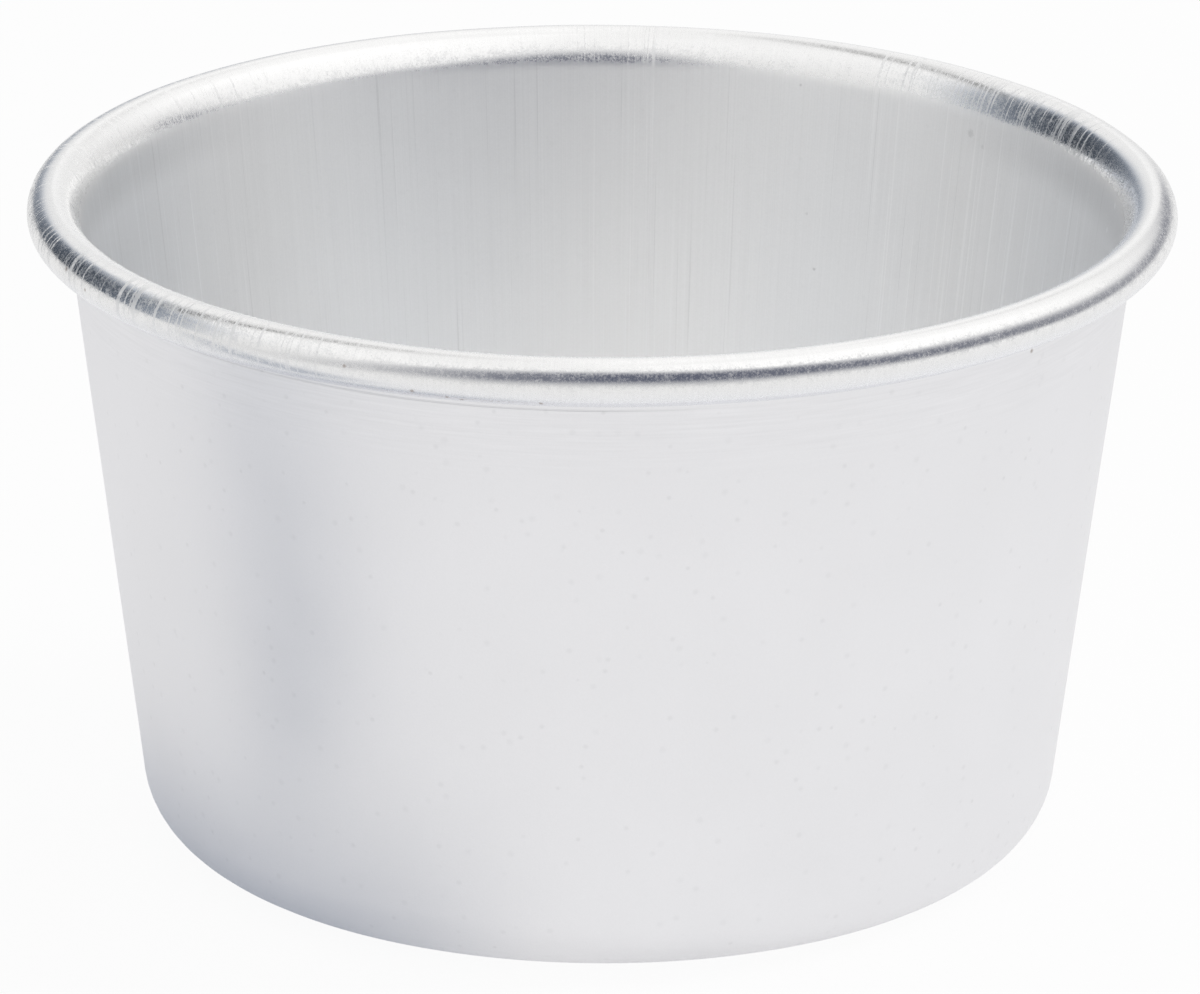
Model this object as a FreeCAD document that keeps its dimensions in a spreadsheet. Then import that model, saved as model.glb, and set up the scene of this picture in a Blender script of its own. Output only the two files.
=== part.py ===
import FreeCAD, Part
import os
from math import acos, cos, isclose, pi, radians, sin, tan

import Sketcher

# A dariole mould: one disc of aluminium sheet drawn into a tapering cup,
# with the sheet's own edge rolled outward and down into a hollow bead.
# Lengths are millimetres and angles are degrees. The origin is the middle
# of the flat base, and +Z runs up the cup's axis.

# Each driving dimension with its value and what it measures
SIZES = [
    ("rim_diameter", 80, "across the rolled bead, the cup's widest place"),
    ("cup_height", 47, "from the table to the top of the bead"),
    ("sheet_thickness", 1, "the drawn sheet, the same all over"),
    ("base_bend_radius", 4, "inside of the bend from floor to wall"),
    ("wall_draft", 7, "how far the wall leans out from upright, in degrees"),
    ("flare_radius", 3.5, "inside of the bend where the wall starts to turn outward"),
    ("flare_turn", 29, "how far it turns there before the bead's tight curl, in degrees"),
    ("bead_hollow_diameter", 1.3, "inside of the rolled bead"),
    ("curl_gap", 0.25, "from the sheet's cut edge to the wall that it curls back to"),
]


def add_size_sheet(doc):
    """The sheet of sizes, one named cell each."""
    sizes = doc.addObject("Spreadsheet::Sheet", "Sizes")
    for row, (name, value, meaning) in enumerate(SIZES, start=1):
        sizes.set(f"A{row}", name)
        sizes.set(f"B{row}", str(value))
        sizes.set(f"C{row}", meaning)
        sizes.setAlias(f"B{row}", name)
    doc.recompute()
    return sizes


def origin_feature(body, role):
    """One of the body's own origin planes, found by its role."""
    return next(item for item in body.Origin.OriginFeatures if item.Role == role)


def point_on_round(centre, radius, angle):
    return centre + FreeCAD.Vector(radius * cos(angle), radius * sin(angle), 0)


def draw_section(section, sizes):
    """Half of the cup cut through its axis: the closed outline of the sheet.

    Every line and arc is drawn near its place. The constraints, whose values
    are bound to the sheet of sizes, then hold it there.
    """
    thickness = sizes.sheet_thickness
    draft = radians(sizes.wall_draft)
    right_angle = radians(90)
    full_turn = radians(360)

    # The bead's middle, with the highest and widest places of its round on the cup's size
    bead_inner = sizes.bead_hollow_diameter / 2
    bead_outer = bead_inner + thickness
    bead_middle = FreeCAD.Vector(sizes.rim_diameter / 2 - bead_outer, sizes.cup_height - bead_outer, 0)

    # The flare is a wider bend, which takes the straight wall into the bead's round
    flare_inner = sizes.flare_radius
    flare_outer = flare_inner + thickness
    wall_side = 2 * right_angle - draft
    bead_side = wall_side - radians(sizes.flare_turn)
    flare_middle = point_on_round(bead_middle, bead_inner - flare_inner, bead_side)
    inner_wall_top = point_on_round(flare_middle, flare_outer, wall_side)
    outer_wall_top = point_on_round(flare_middle, flare_inner, wall_side)

    # The curl goes out, over and back under, and its cut edge stops one gap short of the wall
    wall_distance = flare_inner - (flare_inner - bead_inner) * cos(wall_side - bead_side)
    curl_stop = wall_side + acos((wall_distance - sizes.curl_gap) / bead_outer)
    curl_start = curl_stop - full_turn
    cut_edge_outer = point_on_round(bead_middle, bead_outer, curl_start)
    cut_edge_inner = point_on_round(bead_middle, bead_inner, curl_start)

    # The middle of the base corner, one radius above the table and one in from the wall
    bend_inner = sizes.base_bend_radius
    bend_outer = bend_inner + thickness
    wall_reach = outer_wall_top.x - (outer_wall_top.y - bend_outer) * tan(draft)
    bend_middle = FreeCAD.Vector(wall_reach - bend_outer / cos(draft), bend_outer, 0)
    inner_wall_foot = point_on_round(bend_middle, bend_inner, -draft)
    outer_wall_foot = point_on_round(bend_middle, bend_outer, -draft)
    floor_edge = point_on_round(bend_middle, bend_inner, -right_angle)
    base_edge = point_on_round(bend_middle, bend_outer, -right_angle)
    floor_centre = FreeCAD.Vector(0, thickness, 0)
    base_centre = FreeCAD.Vector(0, 0, 0)

    def line(first, last):
        return section.addGeometry(Part.LineSegment(first, last))

    def arc(centre, radius, first, last):
        circle = Part.Circle(centre, FreeCAD.Vector(0, 0, 1), radius)
        return section.addGeometry(Part.ArcOfCircle(circle, first, last))

    floor = line(floor_centre, floor_edge)
    inner_bend = arc(bend_middle, bend_inner, -right_angle, -draft)
    inner_wall = line(inner_wall_foot, inner_wall_top)
    inner_flare = arc(flare_middle, flare_outer, bead_side, wall_side)
    bead_outside = arc(bead_middle, bead_outer, curl_start, bead_side)
    cut_edge = line(cut_edge_outer, cut_edge_inner)
    bead_inside = arc(bead_middle, bead_inner, curl_start, bead_side)
    outer_flare = arc(flare_middle, flare_inner, bead_side, wall_side)
    outer_wall = line(outer_wall_foot, outer_wall_top)
    outer_bend = arc(bend_middle, bend_outer, -right_angle, -draft)
    base = line(base_centre, base_edge)
    axis = line(base_centre, floor_centre)

    # How constraints name the ends and middle of a line or arc, and the sketch's origin
    start, end, middle = 1, 2, 3
    origin = (-1, 1)

    def hold(kind, *terms):
        return section.addConstraint(Sketcher.Constraint(kind, *terms))

    def bind(name, expression, kind, *terms):
        section.renameConstraint(hold(kind, *terms), name)
        section.setExpression(f"Constraints.{name}", expression)

    # One closed loop, which is smooth wherever the sheet bends
    hold("Tangent", floor, end, inner_bend, start)
    hold("Tangent", inner_bend, end, inner_wall, start)
    hold("Tangent", inner_wall, end, inner_flare, end)
    hold("Tangent", inner_flare, start, bead_outside, end)
    hold("Coincident", bead_outside, start, cut_edge, start)
    hold("Coincident", cut_edge, end, bead_inside, start)
    hold("Tangent", bead_inside, end, outer_flare, start)
    hold("Tangent", outer_flare, end, outer_wall, end)
    hold("Tangent", outer_wall, start, outer_bend, end)
    hold("Tangent", outer_bend, start, base, end)
    hold("Coincident", base, start, *origin)
    hold("Coincident", axis, start, *origin)
    hold("Coincident", axis, end, floor, start)

    # Both faces bend about the same middles, so the sheet has one thickness throughout
    hold("Coincident", inner_bend, middle, outer_bend, middle)
    hold("Coincident", inner_flare, middle, outer_flare, middle)
    hold("Coincident", bead_outside, middle, bead_inside, middle)
    hold("Horizontal", floor)
    hold("Horizontal", base)
    hold("Vertical", axis)
    hold("Parallel", inner_wall, outer_wall)
    hold("PointOnObject", bead_outside, middle, cut_edge)

    # The driving dimensions
    bead_size = "(Sizes.bead_hollow_diameter / 2 + Sizes.sheet_thickness)"
    bind("thickness", "Sizes.sheet_thickness * 1 mm", "DistanceY", axis, start, axis, end, thickness)
    bind("bend", "Sizes.base_bend_radius * 1 mm", "Radius", inner_bend, bend_inner)
    bind("flare", "Sizes.flare_radius * 1 mm", "Radius", outer_flare, flare_inner)
    bind("turn", "Sizes.flare_turn * 1 deg", "Angle", outer_flare, wall_side - bead_side)
    bind("hollow", "Sizes.bead_hollow_diameter / 2 * 1 mm", "Radius", bead_inside, bead_inner)
    bind("reach", f"(Sizes.rim_diameter / 2 - {bead_size}) * 1 mm",
         "DistanceX", *origin, bead_outside, middle, bead_middle.x)
    bind("rise", f"(Sizes.cup_height - {bead_size}) * 1 mm",
         "DistanceY", *origin, bead_outside, middle, bead_middle.y)
    bind("lean", "(90 - Sizes.wall_draft) * 1 deg", "Angle", outer_wall, right_angle - draft)
    bind("gap", "Sizes.curl_gap * 1 mm", "Distance", cut_edge, start, outer_wall, sizes.curl_gap)


def add_mould(doc, sizes):
    """The cup, spun whole from the section of its sheet."""
    body = doc.addObject("PartDesign::Body", "Mould")
    body.Label = "mould"
    section = body.newObject("Sketcher::SketchObject", "SheetSection")
    section.AttachmentSupport = (origin_feature(body, "XZ_Plane"), [""])
    section.MapMode = "FlatFace"
    draw_section(section, sizes)
    doc.recompute()

    cup = body.newObject("PartDesign::Revolution", "Cup")
    cup.Profile = section
    cup.ReferenceAxis = (section, ["V_Axis"])
    cup.Angle = 360
    section.Visibility = False
    body.Placement = FreeCAD.Placement()
    return body, section


def check_model(doc, body, section):
    """One sound solid, whose volume is its section's area carried round the axis."""
    for item in doc.Objects:
        if "Invalid" in item.State or "Error" in item.State:
            raise RuntimeError(f"{item.Label} did not build: {item.State}")
    if body.Shape.isNull() or not body.Shape.isValid():
        raise RuntimeError(f"{body.Label} has no valid shape")
    if len(body.Shape.Solids) != 1:
        raise RuntimeError(f"{body.Label} has {len(body.Shape.Solids)} solids")
    face = Part.Face(section.Shape.Wires[0])
    swept_volume = face.Area * 2 * pi * face.CenterOfMass.x
    if not isclose(body.Shape.Volume, swept_volume, rel_tol=1e-4):
        raise RuntimeError(f"{body.Label} has volume {body.Shape.Volume}, not {swept_volume}")


doc = FreeCAD.newDocument("dariole_mould")
sizes = add_size_sheet(doc)
mould, section = add_mould(doc, sizes)
doc.recompute()
check_model(doc, mould, section)

os.makedirs("parts", exist_ok=True)
mould.Shape.exportStep(f"parts/{mould.Label}.step")
print(f"{mould.Label}: {mould.Shape.Volume / 1000:.2f} cm3, {mould.Shape.optimalBoundingBox()}")
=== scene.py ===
from math import acos, cos, pi, radians, sin, tan

import bmesh
import bpy
from mathutils import Matrix, Vector


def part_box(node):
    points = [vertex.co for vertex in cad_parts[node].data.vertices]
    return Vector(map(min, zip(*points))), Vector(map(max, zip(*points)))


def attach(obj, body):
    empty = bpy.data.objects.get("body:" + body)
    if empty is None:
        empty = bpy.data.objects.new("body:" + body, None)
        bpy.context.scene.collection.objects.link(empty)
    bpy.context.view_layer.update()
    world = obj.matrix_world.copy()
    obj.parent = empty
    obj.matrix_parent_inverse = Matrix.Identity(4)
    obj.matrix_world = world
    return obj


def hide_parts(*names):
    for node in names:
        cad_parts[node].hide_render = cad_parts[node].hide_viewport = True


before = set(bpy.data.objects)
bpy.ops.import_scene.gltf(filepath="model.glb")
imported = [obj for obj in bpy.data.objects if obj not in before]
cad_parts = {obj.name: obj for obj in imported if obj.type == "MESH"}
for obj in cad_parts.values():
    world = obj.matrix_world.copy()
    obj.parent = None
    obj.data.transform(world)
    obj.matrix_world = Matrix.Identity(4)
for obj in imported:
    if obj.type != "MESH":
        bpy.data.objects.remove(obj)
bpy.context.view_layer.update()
scene = bpy.context.scene
scene.view_settings.view_transform = "Standard"

# The mould. One disc of aluminium sheet is drawn into a tapering cup, with no seam,
# and its edge is turned outward and rolled down under itself into a hollow bead.
# The sheet's path is that of the solid, and turning it round the axis gives the cup.

mm = 0.001
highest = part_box("mould")[1]
rim_radius = round(highest.x, 4)
cup_height = round(highest.z, 4)
sheet = 1.0 * mm
bend_radius = 4.5 * mm
wall_lean = radians(7)
flare_radius = 4.0 * mm
flare_turn = radians(29)
bead_radius = 1.15 * mm
curl_gap = 0.25 * mm
edge_round = 0.12 * mm
edge_squareness = 0.35
edge_steps = 8
flat_depth = 0.012 * mm
flat_side = radians(24)
flat_ease = radians(24)
flats_around = 4
steps_around = 480


def on_round(centre, radius, angle):
    return centre + radius * Vector((cos(angle), sin(angle)))


# Middles of the three bends, in radius and height. All radii run to the middle of the sheet.
bead_outside = bead_radius + sheet / 2
bead_middle = Vector((rim_radius - bead_outside, cup_height - bead_outside))
wall_side = pi - wall_lean
bead_side = wall_side - flare_turn
flare_middle = on_round(bead_middle, bead_radius - flare_radius, bead_side)
wall_top = on_round(flare_middle, flare_radius, wall_side)
bend_height = bend_radius + sheet / 2
bend_reach = wall_top.x - (wall_top.y - bend_height) * tan(wall_lean) - bend_radius / cos(wall_lean)
bend_middle = Vector((bend_reach, bend_height))

# The curl stops one gap short of the wall that it comes back to
wall_distance = flare_radius - sheet / 2 - (flare_radius - bead_radius) * cos(flare_turn)
curl_end = wall_side + acos((wall_distance - curl_gap) / bead_outside) - 2 * pi
curl_end += edge_round / bead_radius


class SheetPath:
    """The sheet's middle line from the axis outward, with the side that is inside the cup."""

    def __init__(self):
        self.points = []
        self.way = 0.0

    def add(self, place, inward):
        if self.points:
            self.way += (place - self.points[-1][0]).length
        self.points.append((place, inward, self.way))

    def straight(self, last, inward, steps):
        first = self.points[-1][0] if self.points else Vector((0.0, last.y))
        for step in range(1 if self.points else 0, steps + 1):
            self.add(first.lerp(last, step / steps), inward)

    def bend(self, centre, radius, first, last, inner_side, steps, swell=lambda angle: 0.0):
        for step in range(1, steps + 1):
            angle = first + (last - first) * step / steps
            out = Vector((cos(angle), sin(angle)))
            self.add(centre + (radius + swell(angle)) * out, inner_side * out)


def pressed(angle):
    """The rolling tool leaves the bead a little flat where its round faces outward."""
    start = min(1.0, (bead_side - angle) / flat_ease)
    return -flat_depth * cos(flats_around * (angle - flat_side)) * start * start * (3 - 2 * start)


# Floor, base corner, wall, flare and bead, each with how many steps it takes
path = SheetPath()
path.straight(Vector((bend_reach, sheet / 2)), Vector((0.0, 1.0)), 8)
path.bend(bend_middle, bend_radius, -pi / 2, -wall_lean, -1, 12)
path.straight(wall_top, Vector((-cos(wall_lean), sin(wall_lean))), 14)
wall_way = path.way
path.bend(flare_middle, flare_radius, wall_side, bead_side, 1, 7)
bead_way = path.way
path.bend(bead_middle, bead_radius, bead_side, curl_end, 1, 50, pressed)

# Up one face of the sheet, round its cut edge and back along the other face
section = [(place + side * sheet / 2, way, 1.0) for place, side, way in path.points]
edge_place, edge_side, edge_way = path.points[-1]
edge_ahead = Vector((edge_side.y, -edge_side.x))
for step in range(1, edge_steps):
    angle = pi * step / edge_steps
    across = abs(cos(angle)) ** edge_squareness * (1 if angle < pi / 2 else -1)
    ahead = sin(angle) ** edge_squareness
    place = edge_place + edge_side * across * sheet / 2 + edge_ahead * ahead * edge_round
    section.append((place, edge_way, 0.5 + across / 2))
section += [(place - side * sheet / 2, way, 0.0) for place, side, way in reversed(path.points)]


def add_point_values(mesh, name, values):
    mesh.attributes.new(name, "FLOAT", "POINT").data.foreach_set("value", values)


# Each point keeps its way along the sheet in mm, and 1 or 0 for the face inside or outside the cup
half = bpy.data.meshes.new("sheet_section")
half.from_pydata([(place.x, 0, place.y) for place, way, face in section],
                 [(step, step + 1) for step in range(len(section) - 1)], [])
add_point_values(half, "way", [way / mm for place, way, face in section])
add_point_values(half, "face", [face for place, way, face in section])


class Wire:
    """A value in a node tree. Signs between wires and numbers add the Math nodes."""

    def __init__(self, board, socket):
        self.board = board
        self.socket = socket

    def beside(self, name):
        """Another output of the same node."""
        return Wire(self.board, self.board.find(self.socket.node.outputs, name))

    def __add__(self, other):
        return self.board.maths("ADD", self, other)

    def __radd__(self, other):
        return self.board.maths("ADD", other, self)

    def __sub__(self, other):
        return self.board.maths("SUBTRACT", self, other)

    def __rsub__(self, other):
        return self.board.maths("SUBTRACT", other, self)

    def __mul__(self, other):
        return self.board.maths("MULTIPLY", self, other)

    def __rmul__(self, other):
        return self.board.maths("MULTIPLY", other, self)

    def __truediv__(self, other):
        return self.board.maths("DIVIDE", self, other)

    def __mod__(self, other):
        return self.board.maths("MODULO", self, other)

    def __lt__(self, other):
        return self.board.maths("LESS_THAN", self, other)

    def __neg__(self):
        return self.board.maths("MULTIPLY", self, -1.0)

    def __abs__(self):
        return self.board.maths("ABSOLUTE", self)


class Board:
    """The nodes of one tree."""

    def __init__(self, tree):
        self.tree = tree

    def find(self, sockets, name):
        if isinstance(name, int):
            return sockets[name]
        for socket in sockets:
            if name == socket.identifier:
                return socket
        return sockets[name]

    def node(self, kind, inputs, output=0, **settings):
        """Adds a node, sets it up, fills or joins its inputs, and gives one of its outputs."""
        made = self.tree.nodes.new(kind)
        for name, value in settings.items():
            if name == "stops":
                self.fill_ramp(made.color_ramp.elements, value)
            else:
                setattr(made, name, value)
        for name, value in inputs.items():
            socket = self.find(made.inputs, name)
            if isinstance(value, Wire):
                self.tree.links.new(value.socket, socket)
            else:
                socket.default_value = value
        return Wire(self, self.find(made.outputs, output)) if len(made.outputs) else None

    def fill_ramp(self, ramp, stops):
        ramp.remove(ramp[1])
        for count, (position, colour) in enumerate(stops):
            stop = ramp.new(position) if count else ramp[0]
            stop.position = position
            stop.color = (*colour, 1.0)

    def maths(self, operation, *values):
        return self.node("ShaderNodeMath", dict(enumerate(values)), operation=operation)

    def rise(self, value, first, last, low=0.0, high=1.0):
        """A smooth step from low to high as the value goes from first to last."""
        ends = {"Value": value, "From Min": first, "From Max": last, "To Min": low, "To Max": high}
        return self.node("ShaderNodeMapRange", ends, interpolation_type="SMOOTHSTEP")

    def noise(self, where, scale, roughness=0.5):
        ends = {"Vector": where, "Scale": scale, "Detail": 1.0, "Roughness": roughness}
        return self.node("ShaderNodeTexNoise", ends, "Fac")

    def vector(self, x, y, z):
        return self.node("ShaderNodeCombineXYZ", {"X": x, "Y": y, "Z": z})

    def mix(self, factor, first, second):
        ends = {"Factor_Float": factor, "A_Color": first, "B_Color": second}
        return self.node("ShaderNodeMix", ends, "Result_Color", data_type="RGBA")


# The finish of the sheet. The wall is satin from the drawing, the bead is burnished by its
# roller, and fine draw lines run straight up the cup and on across the bead. Small pits,
# soft marks and brown specks of tarnish are as the years have left them.
aluminium = bpy.data.materials.new("drawn_aluminium")
aluminium.use_nodes = True
aluminium.node_tree.nodes.clear()
metal = Board(aluminium.node_tree)

spot = metal.node("ShaderNodeTexCoord", {}, "Object")
x = metal.node("ShaderNodeSeparateXYZ", {"Vector": spot}, "X")
y = x.beside("Y")
z = x.beside("Z")
way = metal.node("ShaderNodeAttribute", {}, "Fac", attribute_name="way")
face = metal.node("ShaderNodeAttribute", {}, "Fac", attribute_name="face")
reach = metal.maths("SQRT", x * x + y * y)
east = x / reach
north = y / reach
turns_round = metal.maths("ARCTAN2", y, x) / (2 * pi) + 0.5

# Where the bead and its flare are, and the two sides of the cup. Numbers beside way are mm
# along the sheet from the cup's axis: the bead faces outward near 78.6 and down past 79.8.
bead_part = face * metal.rise(way, wall_way / mm - 0.5, bead_way / mm)
inside = face * (1 - bead_part)
outside = 1 - face


def lined(across, along):
    """A place to take noise at, for lines that are fine round the cup and long on the sheet."""
    return metal.vector(east * across, north * across, way * along)


# How hard the punch dragged, round the cup from the left in turns of the circle
dragged = [(0.0, 0.8), (0.09, 1.0), (0.15, 0.75), (0.20, 0.25), (0.36, 0.1), (0.53, 0.2), (0.57, 1.0),
           (0.635, 1.0), (0.67, 0.3), (0.722, 0.25), (0.732, 0.9), (0.754, 0.9), (0.764, 0.25),
           (0.85, 0.25), (0.88, 0.7), (0.95, 0.8)]
drag = metal.node("ShaderNodeValToRGB", {"Fac": turns_round}, "Color",
                  stops=[(turns, (hard, hard, hard)) for turns, hard in dragged])
drag = metal.node("ShaderNodeSeparateColor", {"Color": drag}, "Red")
fine_lines = metal.noise(lined(330.0, 0.03), 1.0, 0.65)
strokes = metal.noise(lined(150.0, 0.04), 1.0)
light_streaks = metal.rise(strokes + 0.10 * drag + 0.05 * bead_part, 0.68, 0.79) * face
light_streaks = light_streaks * metal.rise(drag, 0.2, 0.8) * metal.rise(way, 80.0, 78.8, 0.15, 1.0)
dark_streaks = metal.rise(strokes, 0.36, 0.28) * metal.rise(fine_lines, 0.6, 0.4) * inside

# Satin grain of the drawn sheet, and slow clouds where it has dulled
grain = metal.noise(spot, 6500.0, 0.65)
blotches = metal.noise(spot, 1700.0)
clouds = metal.noise(spot, 110.0, 0.55)

# Pits: small soft dots, some wider and fainter than others
pit_place = metal.node("ShaderNodeTexVoronoi", {"Vector": spot, "Scale": 700.0}, "Distance")
pit_kind = metal.node("ShaderNodeSeparateColor", {"Color": pit_place.beside("Color")}, "Red")
pits = (1 - metal.rise(pit_place, 0.04, 0.14 + 0.14 * pit_kind)) * (1 - 0.6 * pit_kind)

# The roller's rings on the outside, just under the bead, and one thin line a little below the bead on
# its left half, which is darker and cut as a fine groove
rings = metal.noise(metal.vector(east * 7.0, north * 7.0, z * 5200.0), 1.0, 0.6)
under_bead = outside * metal.rise(z, 36.5 * mm, 41.5 * mm) * metal.rise(z, 43.6 * mm, 43.2 * mm)
line_height = 42.86 * mm
sharp_line = (1 - metal.rise(abs(z - line_height), 0.02 * mm, 0.10 * mm)) * outside
sharp_line = sharp_line * metal.rise(east, 0.26, 0.02) * metal.rise(rings, 0.25, 0.5, 0.6, 1.0)

# The grain also makes the edges of small dots uneven
ragged = 0.5 + grain


def dot(centre, wide, core):
    """A ragged dot round a place in mm, which is full inside its core and fades to its edge."""
    ends = {0: spot, 1: Vector(centre) * mm}
    apart = metal.node("ShaderNodeVectorMath", ends, "Value", operation="DISTANCE")
    return metal.rise(apart * ragged, wide * mm, core * wide * mm)


# Brown specks of tarnish, mostly caught under the bead: place in mm, and how wide each is.
# A thin broken line of it also runs under the front of the bead.
specks = [((-36.35, -16.57, 45.78), 0.26), ((-34.89, -19.55, 45.27), 0.18),
          ((-16.91, -36.23, 45.61), 0.20), ((-12.41, -37.71, 44.41), 0.24),
          ((-10.10, -38.19, 44.17), 0.20), ((-9.12, -38.27, 44.03), 0.22),
          ((-3.93, -39.26, 44.13), 0.24), ((28.97, -22.99, 42.52), 0.22)]
tarnish_height = 44.12 * mm
tarnish = 0.5 * (1 - metal.rise(abs(z - tarnish_height), 0.02 * mm, 0.14 * mm)) * bead_part
tarnish = tarnish * metal.rise(grain, 0.5, 0.6) * metal.rise(abs(east + 0.26), 0.22, 0.08)
for centre, wide in specks:
    tarnish = metal.maths("MAXIMUM", tarnish, dot(centre, wide, 0.2))

# How rough the metal is: satin on the wall, polished on the bead, with a speckle in that polish
satin_roughness = 0.42
polished_roughness = 0.24
polish = metal.rise(bead_part, 0.08, 0.65)
speckle = metal.rise(bead_part, 0.22, 0.70) * metal.rise(way, 80.0, 78.8, 0.3, 1.0)
speckle = speckle * (1 - 0.5 * metal.rise(way, 75.4, 76.2) * metal.rise(way, 78.0, 77.4))
roughness = satin_roughness - (satin_roughness - polished_roughness) * polish
roughness = roughness + 0.10 * (clouds - 0.5) + 0.05 * (fine_lines - 0.5)
roughness = roughness + (0.75 * (grain - 0.5) + 0.40 * (blotches - 0.5)) * speckle
roughness = roughness + (0.12 + 0.24 * bead_part) * light_streaks + 0.2 * tarnish

# Its finest relief in mm: grain, the draw lines and the sharp line
grain_depth = 0.005
polished_away = 0.0046
draw_line_depth = 0.006
sharp_line_depth = 0.02
height = grain * (grain_depth - polished_away * polish) - sharp_line_depth * sharp_line
line_share = (0.35 + 0.65 * face) * (0.3 + 0.7 * drag) * (1 - 0.5 * bead_part)
height = height + draw_line_depth * fine_lines * line_share
bump = metal.node("ShaderNodeBump", {"Height": height, "Distance": mm, "Strength": 1.0}, "Normal")

# How light it is, as a share of its colour. Each line adds or takes a few hundredths: clouds and
# lines, grain and painted light that makes the inside lighter lower down, painted shade on the lip at
# both sides, streaks and pits, and rings with the thin line under the bead.
tone = 1.0 + 0.05 * (clouds - 0.5) + 0.08 * (fine_lines - 0.5) * (inside + bead_part)
tone = tone + 0.03 * (grain - 0.5) * (1 + inside - bead_part)
# Painted light: the inside is lighter lower down, and a little darker near its top
tone = tone + inside * metal.rise(way, 74.0, 44.0, -0.02, 0.10)
# Painted shade: the inner lip is darker at the left and right, which dims its highlight there
painted_lip_shade = face * metal.rise(way, 70.5, 73.0) * metal.rise(way, 76.2, 75.0)
tone = tone - painted_lip_shade * metal.rise(abs(east), 0.6, 0.98, 0.0, 0.13)
tone = tone + (0.03 + 0.03 * inside) * light_streaks - 0.08 * dark_streaks
tone = tone - 0.07 * pits * (0.35 + 0.65 * outside)
tone = tone - 0.11 * sharp_line + 0.10 * (rings - 0.5) * under_bead

# Small soft marks on the inside: place in mm, how wide, and how much lighter or darker each is
marks = [((26.6, 24.3, 43.2), 0.38, -0.12), ((27.5, 23.3, 42.5), 0.30, -0.09),
         ((14.5, 33.2, 44.1), 0.18, -0.20), ((15.6, 30.8, 30.7), 0.17, -0.20),
         ((15.0, 31.6, 34.7), 0.15, -0.10), ((35.9, 4.2, 44.2), 0.34, 0.14),
         ((35.5, 5.4, 42.0), 0.28, 0.12)]
for centre, wide, change in marks:
    tone = tone + change * dot(centre, wide, 0.3)

# The metal's tint, neutral inside and faintly lavender outside, with painted colour casts of the light:
# cooler at the inside's left and right, warm on the bead's top where its highlight lies, and lavender
# on the bead's lower outside
inner_wall = (0.903, 0.901, 0.897, 1)
painted_cool_cast_inner_sides = (0.874, 0.886, 0.902, 1)
painted_highlight_cast_bead_top = (0.913, 0.909, 0.904, 1)
painted_shade_cast_bead_lower = (0.882, 0.889, 0.917, 1)
outer_wall = (0.897, 0.894, 0.910, 1)
tarnish_brown = (0.30, 0.22, 0.17, 1)
# Painted colour casts: the inside's left and right, the bead's top and its lower outside
tint = metal.mix(inside * metal.rise(abs(east), 0.7, 1.0), inner_wall, painted_cool_cast_inner_sides)
tint = metal.mix(bead_part * metal.rise(way, 79.8, 78.6), tint, painted_highlight_cast_bead_top)
tint = metal.mix(face * metal.rise(way, 78.6, 79.8), tint, painted_shade_cast_bead_lower)
tint = metal.mix(outside, tint, outer_wall)
bare_metal = metal.node("ShaderNodeVectorMath", {0: tint, "Scale": tone}, "Vector", operation="SCALE")
stained = metal.mix(0.55 * tarnish, bare_metal, tarnish_brown)
surface = metal.node("ShaderNodeBsdfPrincipled", {
    "Base Color": stained, "Metallic": 1.0, "Roughness": roughness, "Normal": bump}, "BSDF")
metal.node("ShaderNodeOutputMaterial", {"Surface": surface})

# The turning: a grid whose rows are the section, each turned a step further round the axis. Then
# slow waves draw the wall in by a few hundredths of a millimetre, and fade out at the flat base.
weld_distance = 0.01 * mm
wave_depth = 0.003
wave_scale = 55.0
wave_top = 0.75
flat_foot = 8 * mm
turning = bpy.data.node_groups.new("sheet_turned_round", "GeometryNodeTree")
sockets = turning.interface
sockets.new_socket("Section", in_out="INPUT", socket_type="NodeSocketGeometry")
steps_input = sockets.new_socket("Steps around", in_out="INPUT", socket_type="NodeSocketInt")
depth_input = sockets.new_socket("Unevenness", in_out="INPUT", socket_type="NodeSocketFloat")
sockets.new_socket("Cup", in_out="OUTPUT", socket_type="NodeSocketGeometry")
lathe = Board(turning)
given = lathe.node("NodeGroupInput", {}, "Section")
steps = given.beside("Steps around")
points = lathe.node("GeometryNodeAttributeDomainSize", {"Geometry": given}, "Point Count",
                    component="MESH")
grid = lathe.node("GeometryNodeMeshGrid", {"Vertices X": steps + 1, "Vertices Y": points}, "Mesh")
index = lathe.node("GeometryNodeInputIndex", {})
row = index % points
round_angle = lathe.maths("FLOOR", (index + 0.5) / points) / steps * (2 * pi)
place = lathe.node("GeometryNodeInputPosition", {})
fetched = lathe.node("GeometryNodeSampleIndex", {"Geometry": given, "Value": place, "Index": row},
                     data_type="FLOAT_VECTOR")
turned = lathe.node("ShaderNodeVectorRotate", {"Vector": fetched, "Angle": round_angle},
                    rotation_type="Z_AXIS")
cup = grid
for name in ("way", "face"):
    kept = lathe.node("GeometryNodeInputNamedAttribute", {"Name": name}, "Attribute", data_type="FLOAT")
    value = lathe.node("GeometryNodeSampleIndex", {"Geometry": given, "Value": kept, "Index": row},
                       data_type="FLOAT")
    cup = lathe.node("GeometryNodeStoreNamedAttribute", {"Geometry": cup, "Name": name, "Value": value},
                     data_type="FLOAT", domain="POINT")
cup = lathe.node("GeometryNodeSetPosition", {"Geometry": cup, "Position": turned})
cup = lathe.node("GeometryNodeMergeByDistance", {"Geometry": cup, "Distance": weld_distance})
height_above = lathe.node("ShaderNodeSeparateXYZ", {"Vector": place}, "Z")
wave = lathe.noise(place, wave_scale) - wave_top
wave = wave * given.beside("Unevenness") * lathe.rise(height_above, 0.0, flat_foot)
push = lathe.node("ShaderNodeVectorMath", {0: place, "Scale": wave}, "Vector", operation="SCALE")
cup = lathe.node("GeometryNodeSetPosition", {"Geometry": cup, "Offset": push})
cup = lathe.node("GeometryNodeSetShadeSmooth", {"Geometry": cup})
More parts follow.
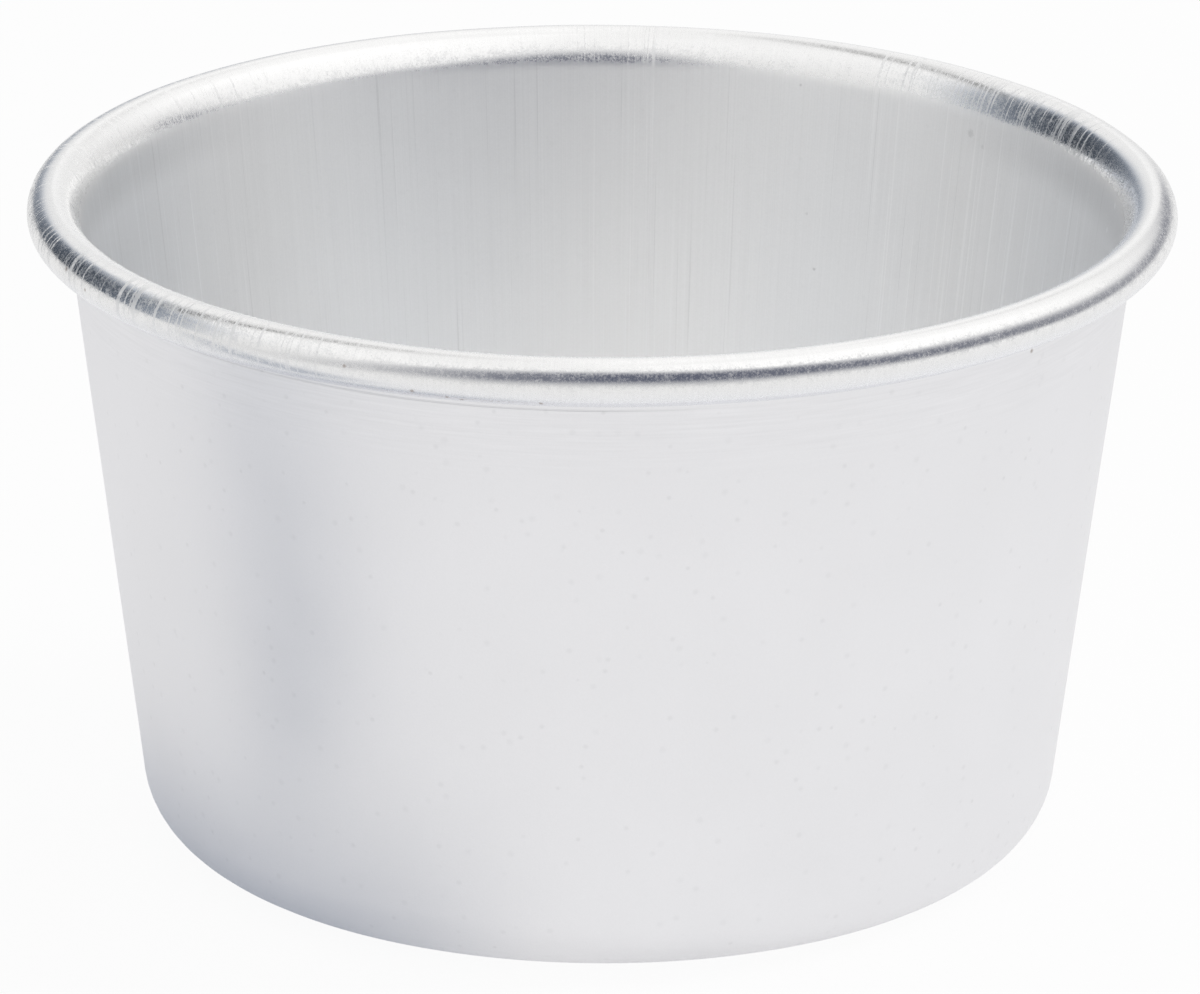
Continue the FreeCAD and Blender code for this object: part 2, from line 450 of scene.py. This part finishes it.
cup = lathe.node("GeometryNodeRealizeInstances", {"Geometry": cup})
cup = lathe.node("GeometryNodeSetMaterial", {"Geometry": cup, "Material": aluminium})
lathe.node("NodeGroupOutput", {"Cup": cup})

blank = bpy.data.objects.new("blank", half)
scene.collection.objects.link(blank)
spun = blank.modifiers.new("turning", "NODES")
spun.node_group = turning
spun[steps_input.identifier] = steps_around
spun[depth_input.identifier] = wave_depth
bpy.context.view_layer.update()
ready = blank.evaluated_get(bpy.context.evaluated_depsgraph_get())
cup_mesh = bpy.data.meshes.new_from_object(ready)
bpy.data.objects.remove(blank)
work = bmesh.new()
work.from_mesh(cup_mesh)
bmesh.ops.recalc_face_normals(work, faces=work.faces)
work.to_mesh(cup_mesh)
work.free()

mould = bpy.data.objects.new("cup_of_sheet", cup_mesh)
scene.collection.objects.link(mould)
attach(mould, "root")
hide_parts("mould")

# The table. A wide sheet of matt white board, which the cup stands on. The camera and the
# metal see it as bright as the white background, and it keeps the cup's soft shadow; the metal also
# sees two painted shadows on it. From below it is clear, so that the cup's underside can be looked at.
table_radius = 3.0
table_below = 0.02 * mm
table_mesh = bpy.data.meshes.new("white_board")
board_edge = bmesh.new()
bmesh.ops.create_circle(board_edge, cap_ends=True, radius=table_radius, segments=96)
board_edge.to_mesh(table_mesh)
board_edge.free()
table = bpy.data.objects.new("white_board", table_mesh)
scene.collection.objects.link(table)
table.location.z = -table_below

white = bpy.data.materials.new("matt_white")
white.use_nodes = True
white.node_tree.nodes.clear()
paint = Board(white.node_tree)
lit = paint.node("ShaderNodeBsdfDiffuse", {"Color": (0.9, 0.9, 0.9, 1)}, "BSDF")
to_camera = paint.node("ShaderNodeLightPath", {}, "Is Camera Ray")
to_metal = to_camera.beside("Is Glossy Ray")
ground = paint.node("ShaderNodeTexCoord", {}, "Object")
ground_x = paint.node("ShaderNodeSeparateXYZ", {"Vector": ground}, "X")
ground_y = ground_x.beside("Y")

# Painted shadows, which only the metal sees: two dark patches on it, in metres from the cup's axis: the
# painted shade close to the cup at its left, and a painted shadow strip that runs off to the left just
# in front of its middle
just_above_zero = 1e-5
shade_blue = (0.30, 0.35, 0.44, 1)
far = paint.maths("SQRT", ground_x * ground_x + ground_y * ground_y) + just_above_zero
leftward = (ground_x * -0.90 + ground_y * -0.44) / far
painted_shade_near_cup = paint.rise(leftward, 0.50, 1.0) * paint.rise(far, 0.055, 0.032)
painted_shade_near_cup = painted_shade_near_cup * paint.rise(far, 0.022, 0.0285)
painted_shadow_strip = paint.rise(ground_y, -0.066, -0.034) * paint.rise(ground_y, -0.018, -0.032)
painted_shadow_strip = painted_shadow_strip * paint.rise(ground_x, -0.036, -0.050) * paint.rise(far, 0.40, 0.10)
# The painted shadows darken the board's glow for the metal's rays only
shaded = paint.maths("MAXIMUM", 0.9 * painted_shadow_strip, 0.8 * painted_shade_near_cup) * to_metal
bright = paint.mix(shaded, (1, 1, 1, 1), shade_blue)
glow = paint.node("ShaderNodeEmission", {"Color": bright, "Strength": 1.0}, "Emission")
glow_share = 0.93 * to_camera + 0.55 * to_metal
top_side = paint.node("ShaderNodeMixShader", {"Fac": glow_share, 1: lit, 2: glow})
from_below = paint.node("ShaderNodeNewGeometry", {}, "Backfacing") * to_camera
clear = paint.node("ShaderNodeBsdfTransparent", {}, "BSDF")
board = paint.node("ShaderNodeMixShader", {"Fac": from_below, 1: top_side, 2: clear})
paint.node("ShaderNodeOutputMaterial", {"Surface": board})
table_mesh.materials.append(white)

# The light. A white cloth tent round the table, with an opening at the left and behind, through
# which the dark room shows in the metal. Two softboxes light it, overhead and at the right.
tent = bpy.data.worlds.new("white_tent")
scene.world = tent
tent.use_nodes = True
tent.cycles.sampling_method = "NONE"
tent.node_tree.nodes.clear()
cloth = Board(tent.node_tree)
towards = cloth.node("ShaderNodeTexCoord", {}, "Generated")
right = cloth.node("ShaderNodeSeparateXYZ", {"Vector": towards}, "X")
back = right.beside("Y")
up = right.beside("Z")
azimuth = cloth.maths("ARCTAN2", right, -back) * (180 / pi)
elevation = cloth.maths("ARCSINE", up) * (180 / pi)

# Round the tent in degrees from the camera's side to the right: where the dark opening
# starts above the table, where it ends, and how dark it is
opening = [(-180, -6, 8, 0.1), (-171, -6, 9, 0.6), (-159, -6, 18, 0.65), (-146, -5, 33, 0.9),
           (-127, -4, 36, 1.0), (-110, -3, 32, 0.9), (-95, -3, 30, 0.55), (-80, 0, 26, 0.0),
           (165, -6, 6, 0.0), (179, -6, 8, 0.1)]

# A ramp's colours hold the two edges, kept between 0 and 1, and the depth
ramp_low = -30
ramp_span = 120
turns_round = (azimuth + 180) / 360
stops = [((side + 180) / 360, ((low - ramp_low) / ramp_span, (top - ramp_low) / ramp_span, depth))
         for side, low, top, depth in opening]
edges = cloth.node("ShaderNodeValToRGB", {"Fac": turns_round}, "Color", stops=stops)
edges = cloth.node("ShaderNodeSeparateColor", {"Color": edges}, "Red")
low_edge = edges * ramp_span + ramp_low
top_edge = edges.beside("Green") * ramp_span + ramp_low
depth = edges.beside("Blue")

# Its lower and upper edges are soft, over some 10 and 20 degrees
dark = cloth.rise(elevation, low_edge - 4, low_edge + 5)
dark = dark * cloth.rise(elevation, top_edge + 12, top_edge - 9)

# The tent's seam, a thin dark line that climbs from that opening and passes over the back:
# round the tent as before, how high it is, and how dark
seam = [(-180, 41, 0.0), (-173, 47, 0.1), (-165, 54, 0.45), (-143, 59, 0.6), (-127, 51, 0.9),
        (-112, 40, 0.8), (-100, 30, 0.0), (150, 24, 0.0), (165, 34, 0.2), (179, 41, 0.0)]
stops = [((side + 180) / 360, (high / 90, dull, 0)) for side, high, dull in seam]
seam_run = cloth.node("ShaderNodeValToRGB", {"Fac": turns_round}, "Color", stops=stops)
seam_height = cloth.node("ShaderNodeSeparateColor", {"Color": seam_run}, "Red")
seam_dull = seam_height.beside("Green")
seam_dark = seam_dull * cloth.rise(abs(elevation - seam_height * 90), 11, 1)

# How bright the cloth is: brighter upward and at the right. What the metal shows by a third
# mirroring or a later one, deep in the cup, is brighter still, and the opening is weaker there.
later_gleam = 1.24
shade_of_room = (0.62, 0.76, 1.0, 1)
light_on_table = 0.55
gleam = 0.85 + 0.15 * cloth.rise(elevation, 8, 50) - 0.04 * cloth.rise(elevation, 58, 80)
right_side = cloth.rise(azimuth, 5, 40) * cloth.rise(azimuth, 145, 120)
gleam = gleam + 0.03 * cloth.rise(azimuth, 20, 70) + 0.10 * cloth.rise(elevation, 3, 15) * right_side
gleam = gleam + 0.09 * cloth.rise(azimuth, 166, 178) * cloth.rise(elevation, 0, 10)
first_two_mirrors = cloth.node("ShaderNodeLightPath", {}, "Ray Depth") < 2.5
hidden = dark * depth * (0.45 + 0.46 * first_two_mirrors)
mirrored = gleam * first_two_mirrors + (1 - first_two_mirrors) * later_gleam
mirrored = mirrored * (1 - hidden) * (1 - seam_dark)
to_camera = cloth.node("ShaderNodeLightPath", {}, "Is Camera Ray")
to_metal = to_camera.beside("Is Glossy Ray")
through = to_camera.beside("Is Transmission Ray")
strength = to_camera + to_metal * mirrored + through
strength = strength + (1 - to_camera - to_metal - through) * light_on_table
cast = cloth.mix(hidden * to_metal, (1, 1, 1, 1), shade_of_room)
sky = cloth.node("ShaderNodeBackground", {"Color": cast, "Strength": strength}, "Background")
cloth.node("ShaderNodeOutputWorld", {"Surface": sky})

# The black card. A strip bent round the cup's front and right, high at the camera and low at
# the right, with soft edges. Only the metal sees it, as the dark line along the bead. Each stop
# is its side in degrees as for the tent, its two edges in mm above the rim, and how dark it is.
card_radius = 80 * mm
card_steps = 8
card_grey = (0.68, 0.74, 1.0, 1)
card_glow = 0.18
card_edges = [(-66, -18, 2, 0.0), (-50, -18, 8, 0.12), (-39, -12, 26, 0.3), (-29, -6, 50, 0.5),
              (-16, -8, 88, 0.85), (0, -6, 102, 1.0), (15, -6, 90, 1.0), (32, -4, 68, 0.95),
              (46, -7, 46, 0.92), (67, -9, 38, 0.86), (84, -14, 26, 0.74), (100, -11, 21, 0.70),
              (121, -6, 24, 0.80), (131, -2, 30, 0.80), (137, 3, 32, 0.6), (141, 8, 32, 0.0)]
card_points = []
card_across = []
card_share = []
for first, last in zip(card_edges, card_edges[1:]):
    for step in range(card_steps):
        part = step / card_steps
        side, low, top, share = [a + (b - a) * part for a, b in zip(first, last)]
        foot = Vector((sin(radians(side)), -cos(radians(side)), 0)) * card_radius
        for across in (0.0, 1.0):
            above_rim = (low + (top - low) * across) * mm
            card_points.append(foot + Vector((0, 0, cup_height + above_rim)))
            card_across.append(across)
            card_share.append(share)
card_mesh = bpy.data.meshes.new("black_card")
card_mesh.from_pydata(card_points, [],
                      [(i, i + 2, i + 3, i + 1) for i in range(0, len(card_points) - 2, 2)])
add_point_values(card_mesh, "across", card_across)
add_point_values(card_mesh, "share", card_share)
card = bpy.data.objects.new("black_card", card_mesh)
scene.collection.objects.link(card)
card.visible_camera = False
card.visible_diffuse = False
card.visible_shadow = False
card.visible_transmission = False
black = bpy.data.materials.new("black_card")
black.use_nodes = True
black.node_tree.nodes.clear()
felt = Board(black.node_tree)
across = felt.node("ShaderNodeAttribute", {}, "Fac", attribute_name="across")
share = felt.node("ShaderNodeAttribute", {}, "Fac", attribute_name="share")
first_mirror = felt.node("ShaderNodeLightPath", {}, "Ray Depth") < 1.5
cover = share * felt.rise(across, 0.0, 0.25) * felt.rise(across, 1.0, 0.42)
cover = cover * (0.4 + 0.6 * first_mirror)
clear = felt.node("ShaderNodeBsdfTransparent", {}, "BSDF")
shade = felt.node("ShaderNodeEmission", {"Color": card_grey, "Strength": card_glow}, "Emission")
shown = felt.node("ShaderNodeMixShader", {"Fac": cover, 1: clear, 2: shade})
felt.node("ShaderNodeOutputMaterial", {"Surface": shown})
card_mesh.materials.append(black)


def softbox(name, place, aim, size, glow):
    """A square lamp with an even white face, turned to what it lights."""
    lamp = bpy.data.lights.new(name, "AREA")
    lamp.shape = "SQUARE"
    lamp.size = size
    lamp.energy = glow * size * size * pi
    holder = bpy.data.objects.new(name, lamp)
    holder.location = place
    holder.rotation_euler = (Vector(aim) - Vector(place)).to_track_quat("-Z", "Y").to_euler()
    holder.visible_glossy = False
    holder.visible_camera = False
    scene.collection.objects.link(holder)


# Name, place and aim in metres, width of the face, and brightness
softbox("overhead", (0.05, 0.1, 1.0), (0, 0, 0), 0.9, 0.7)
softbox("right", (0.68, 0.12, 0.6), (0, 0, 0.02), 0.35, 5.0)

# The camera. It stands where the photograph was taken from and looks about 20 degrees downward
# through a long lens, with a lean of a little over a third of a degree.
camera = bpy.data.cameras.new("camera")
camera.sensor_width = 36
camera.lens = 265.28
viewer = bpy.data.objects.new("camera", camera)
scene.collection.objects.link(viewer)
viewer_lean = radians(0.376)
viewer_place = Vector((0.0, -0.58699, 0.23176))
aimed_at = Vector((-0.000025, 0.0, 0.02375))
look = (aimed_at - viewer_place).to_track_quat("-Z", "Y").to_matrix().to_4x4()
viewer.matrix_world = Matrix.Translation(viewer_place) @ look @ Matrix.Rotation(viewer_lean, 4, "Z")
scene.camera = viewer
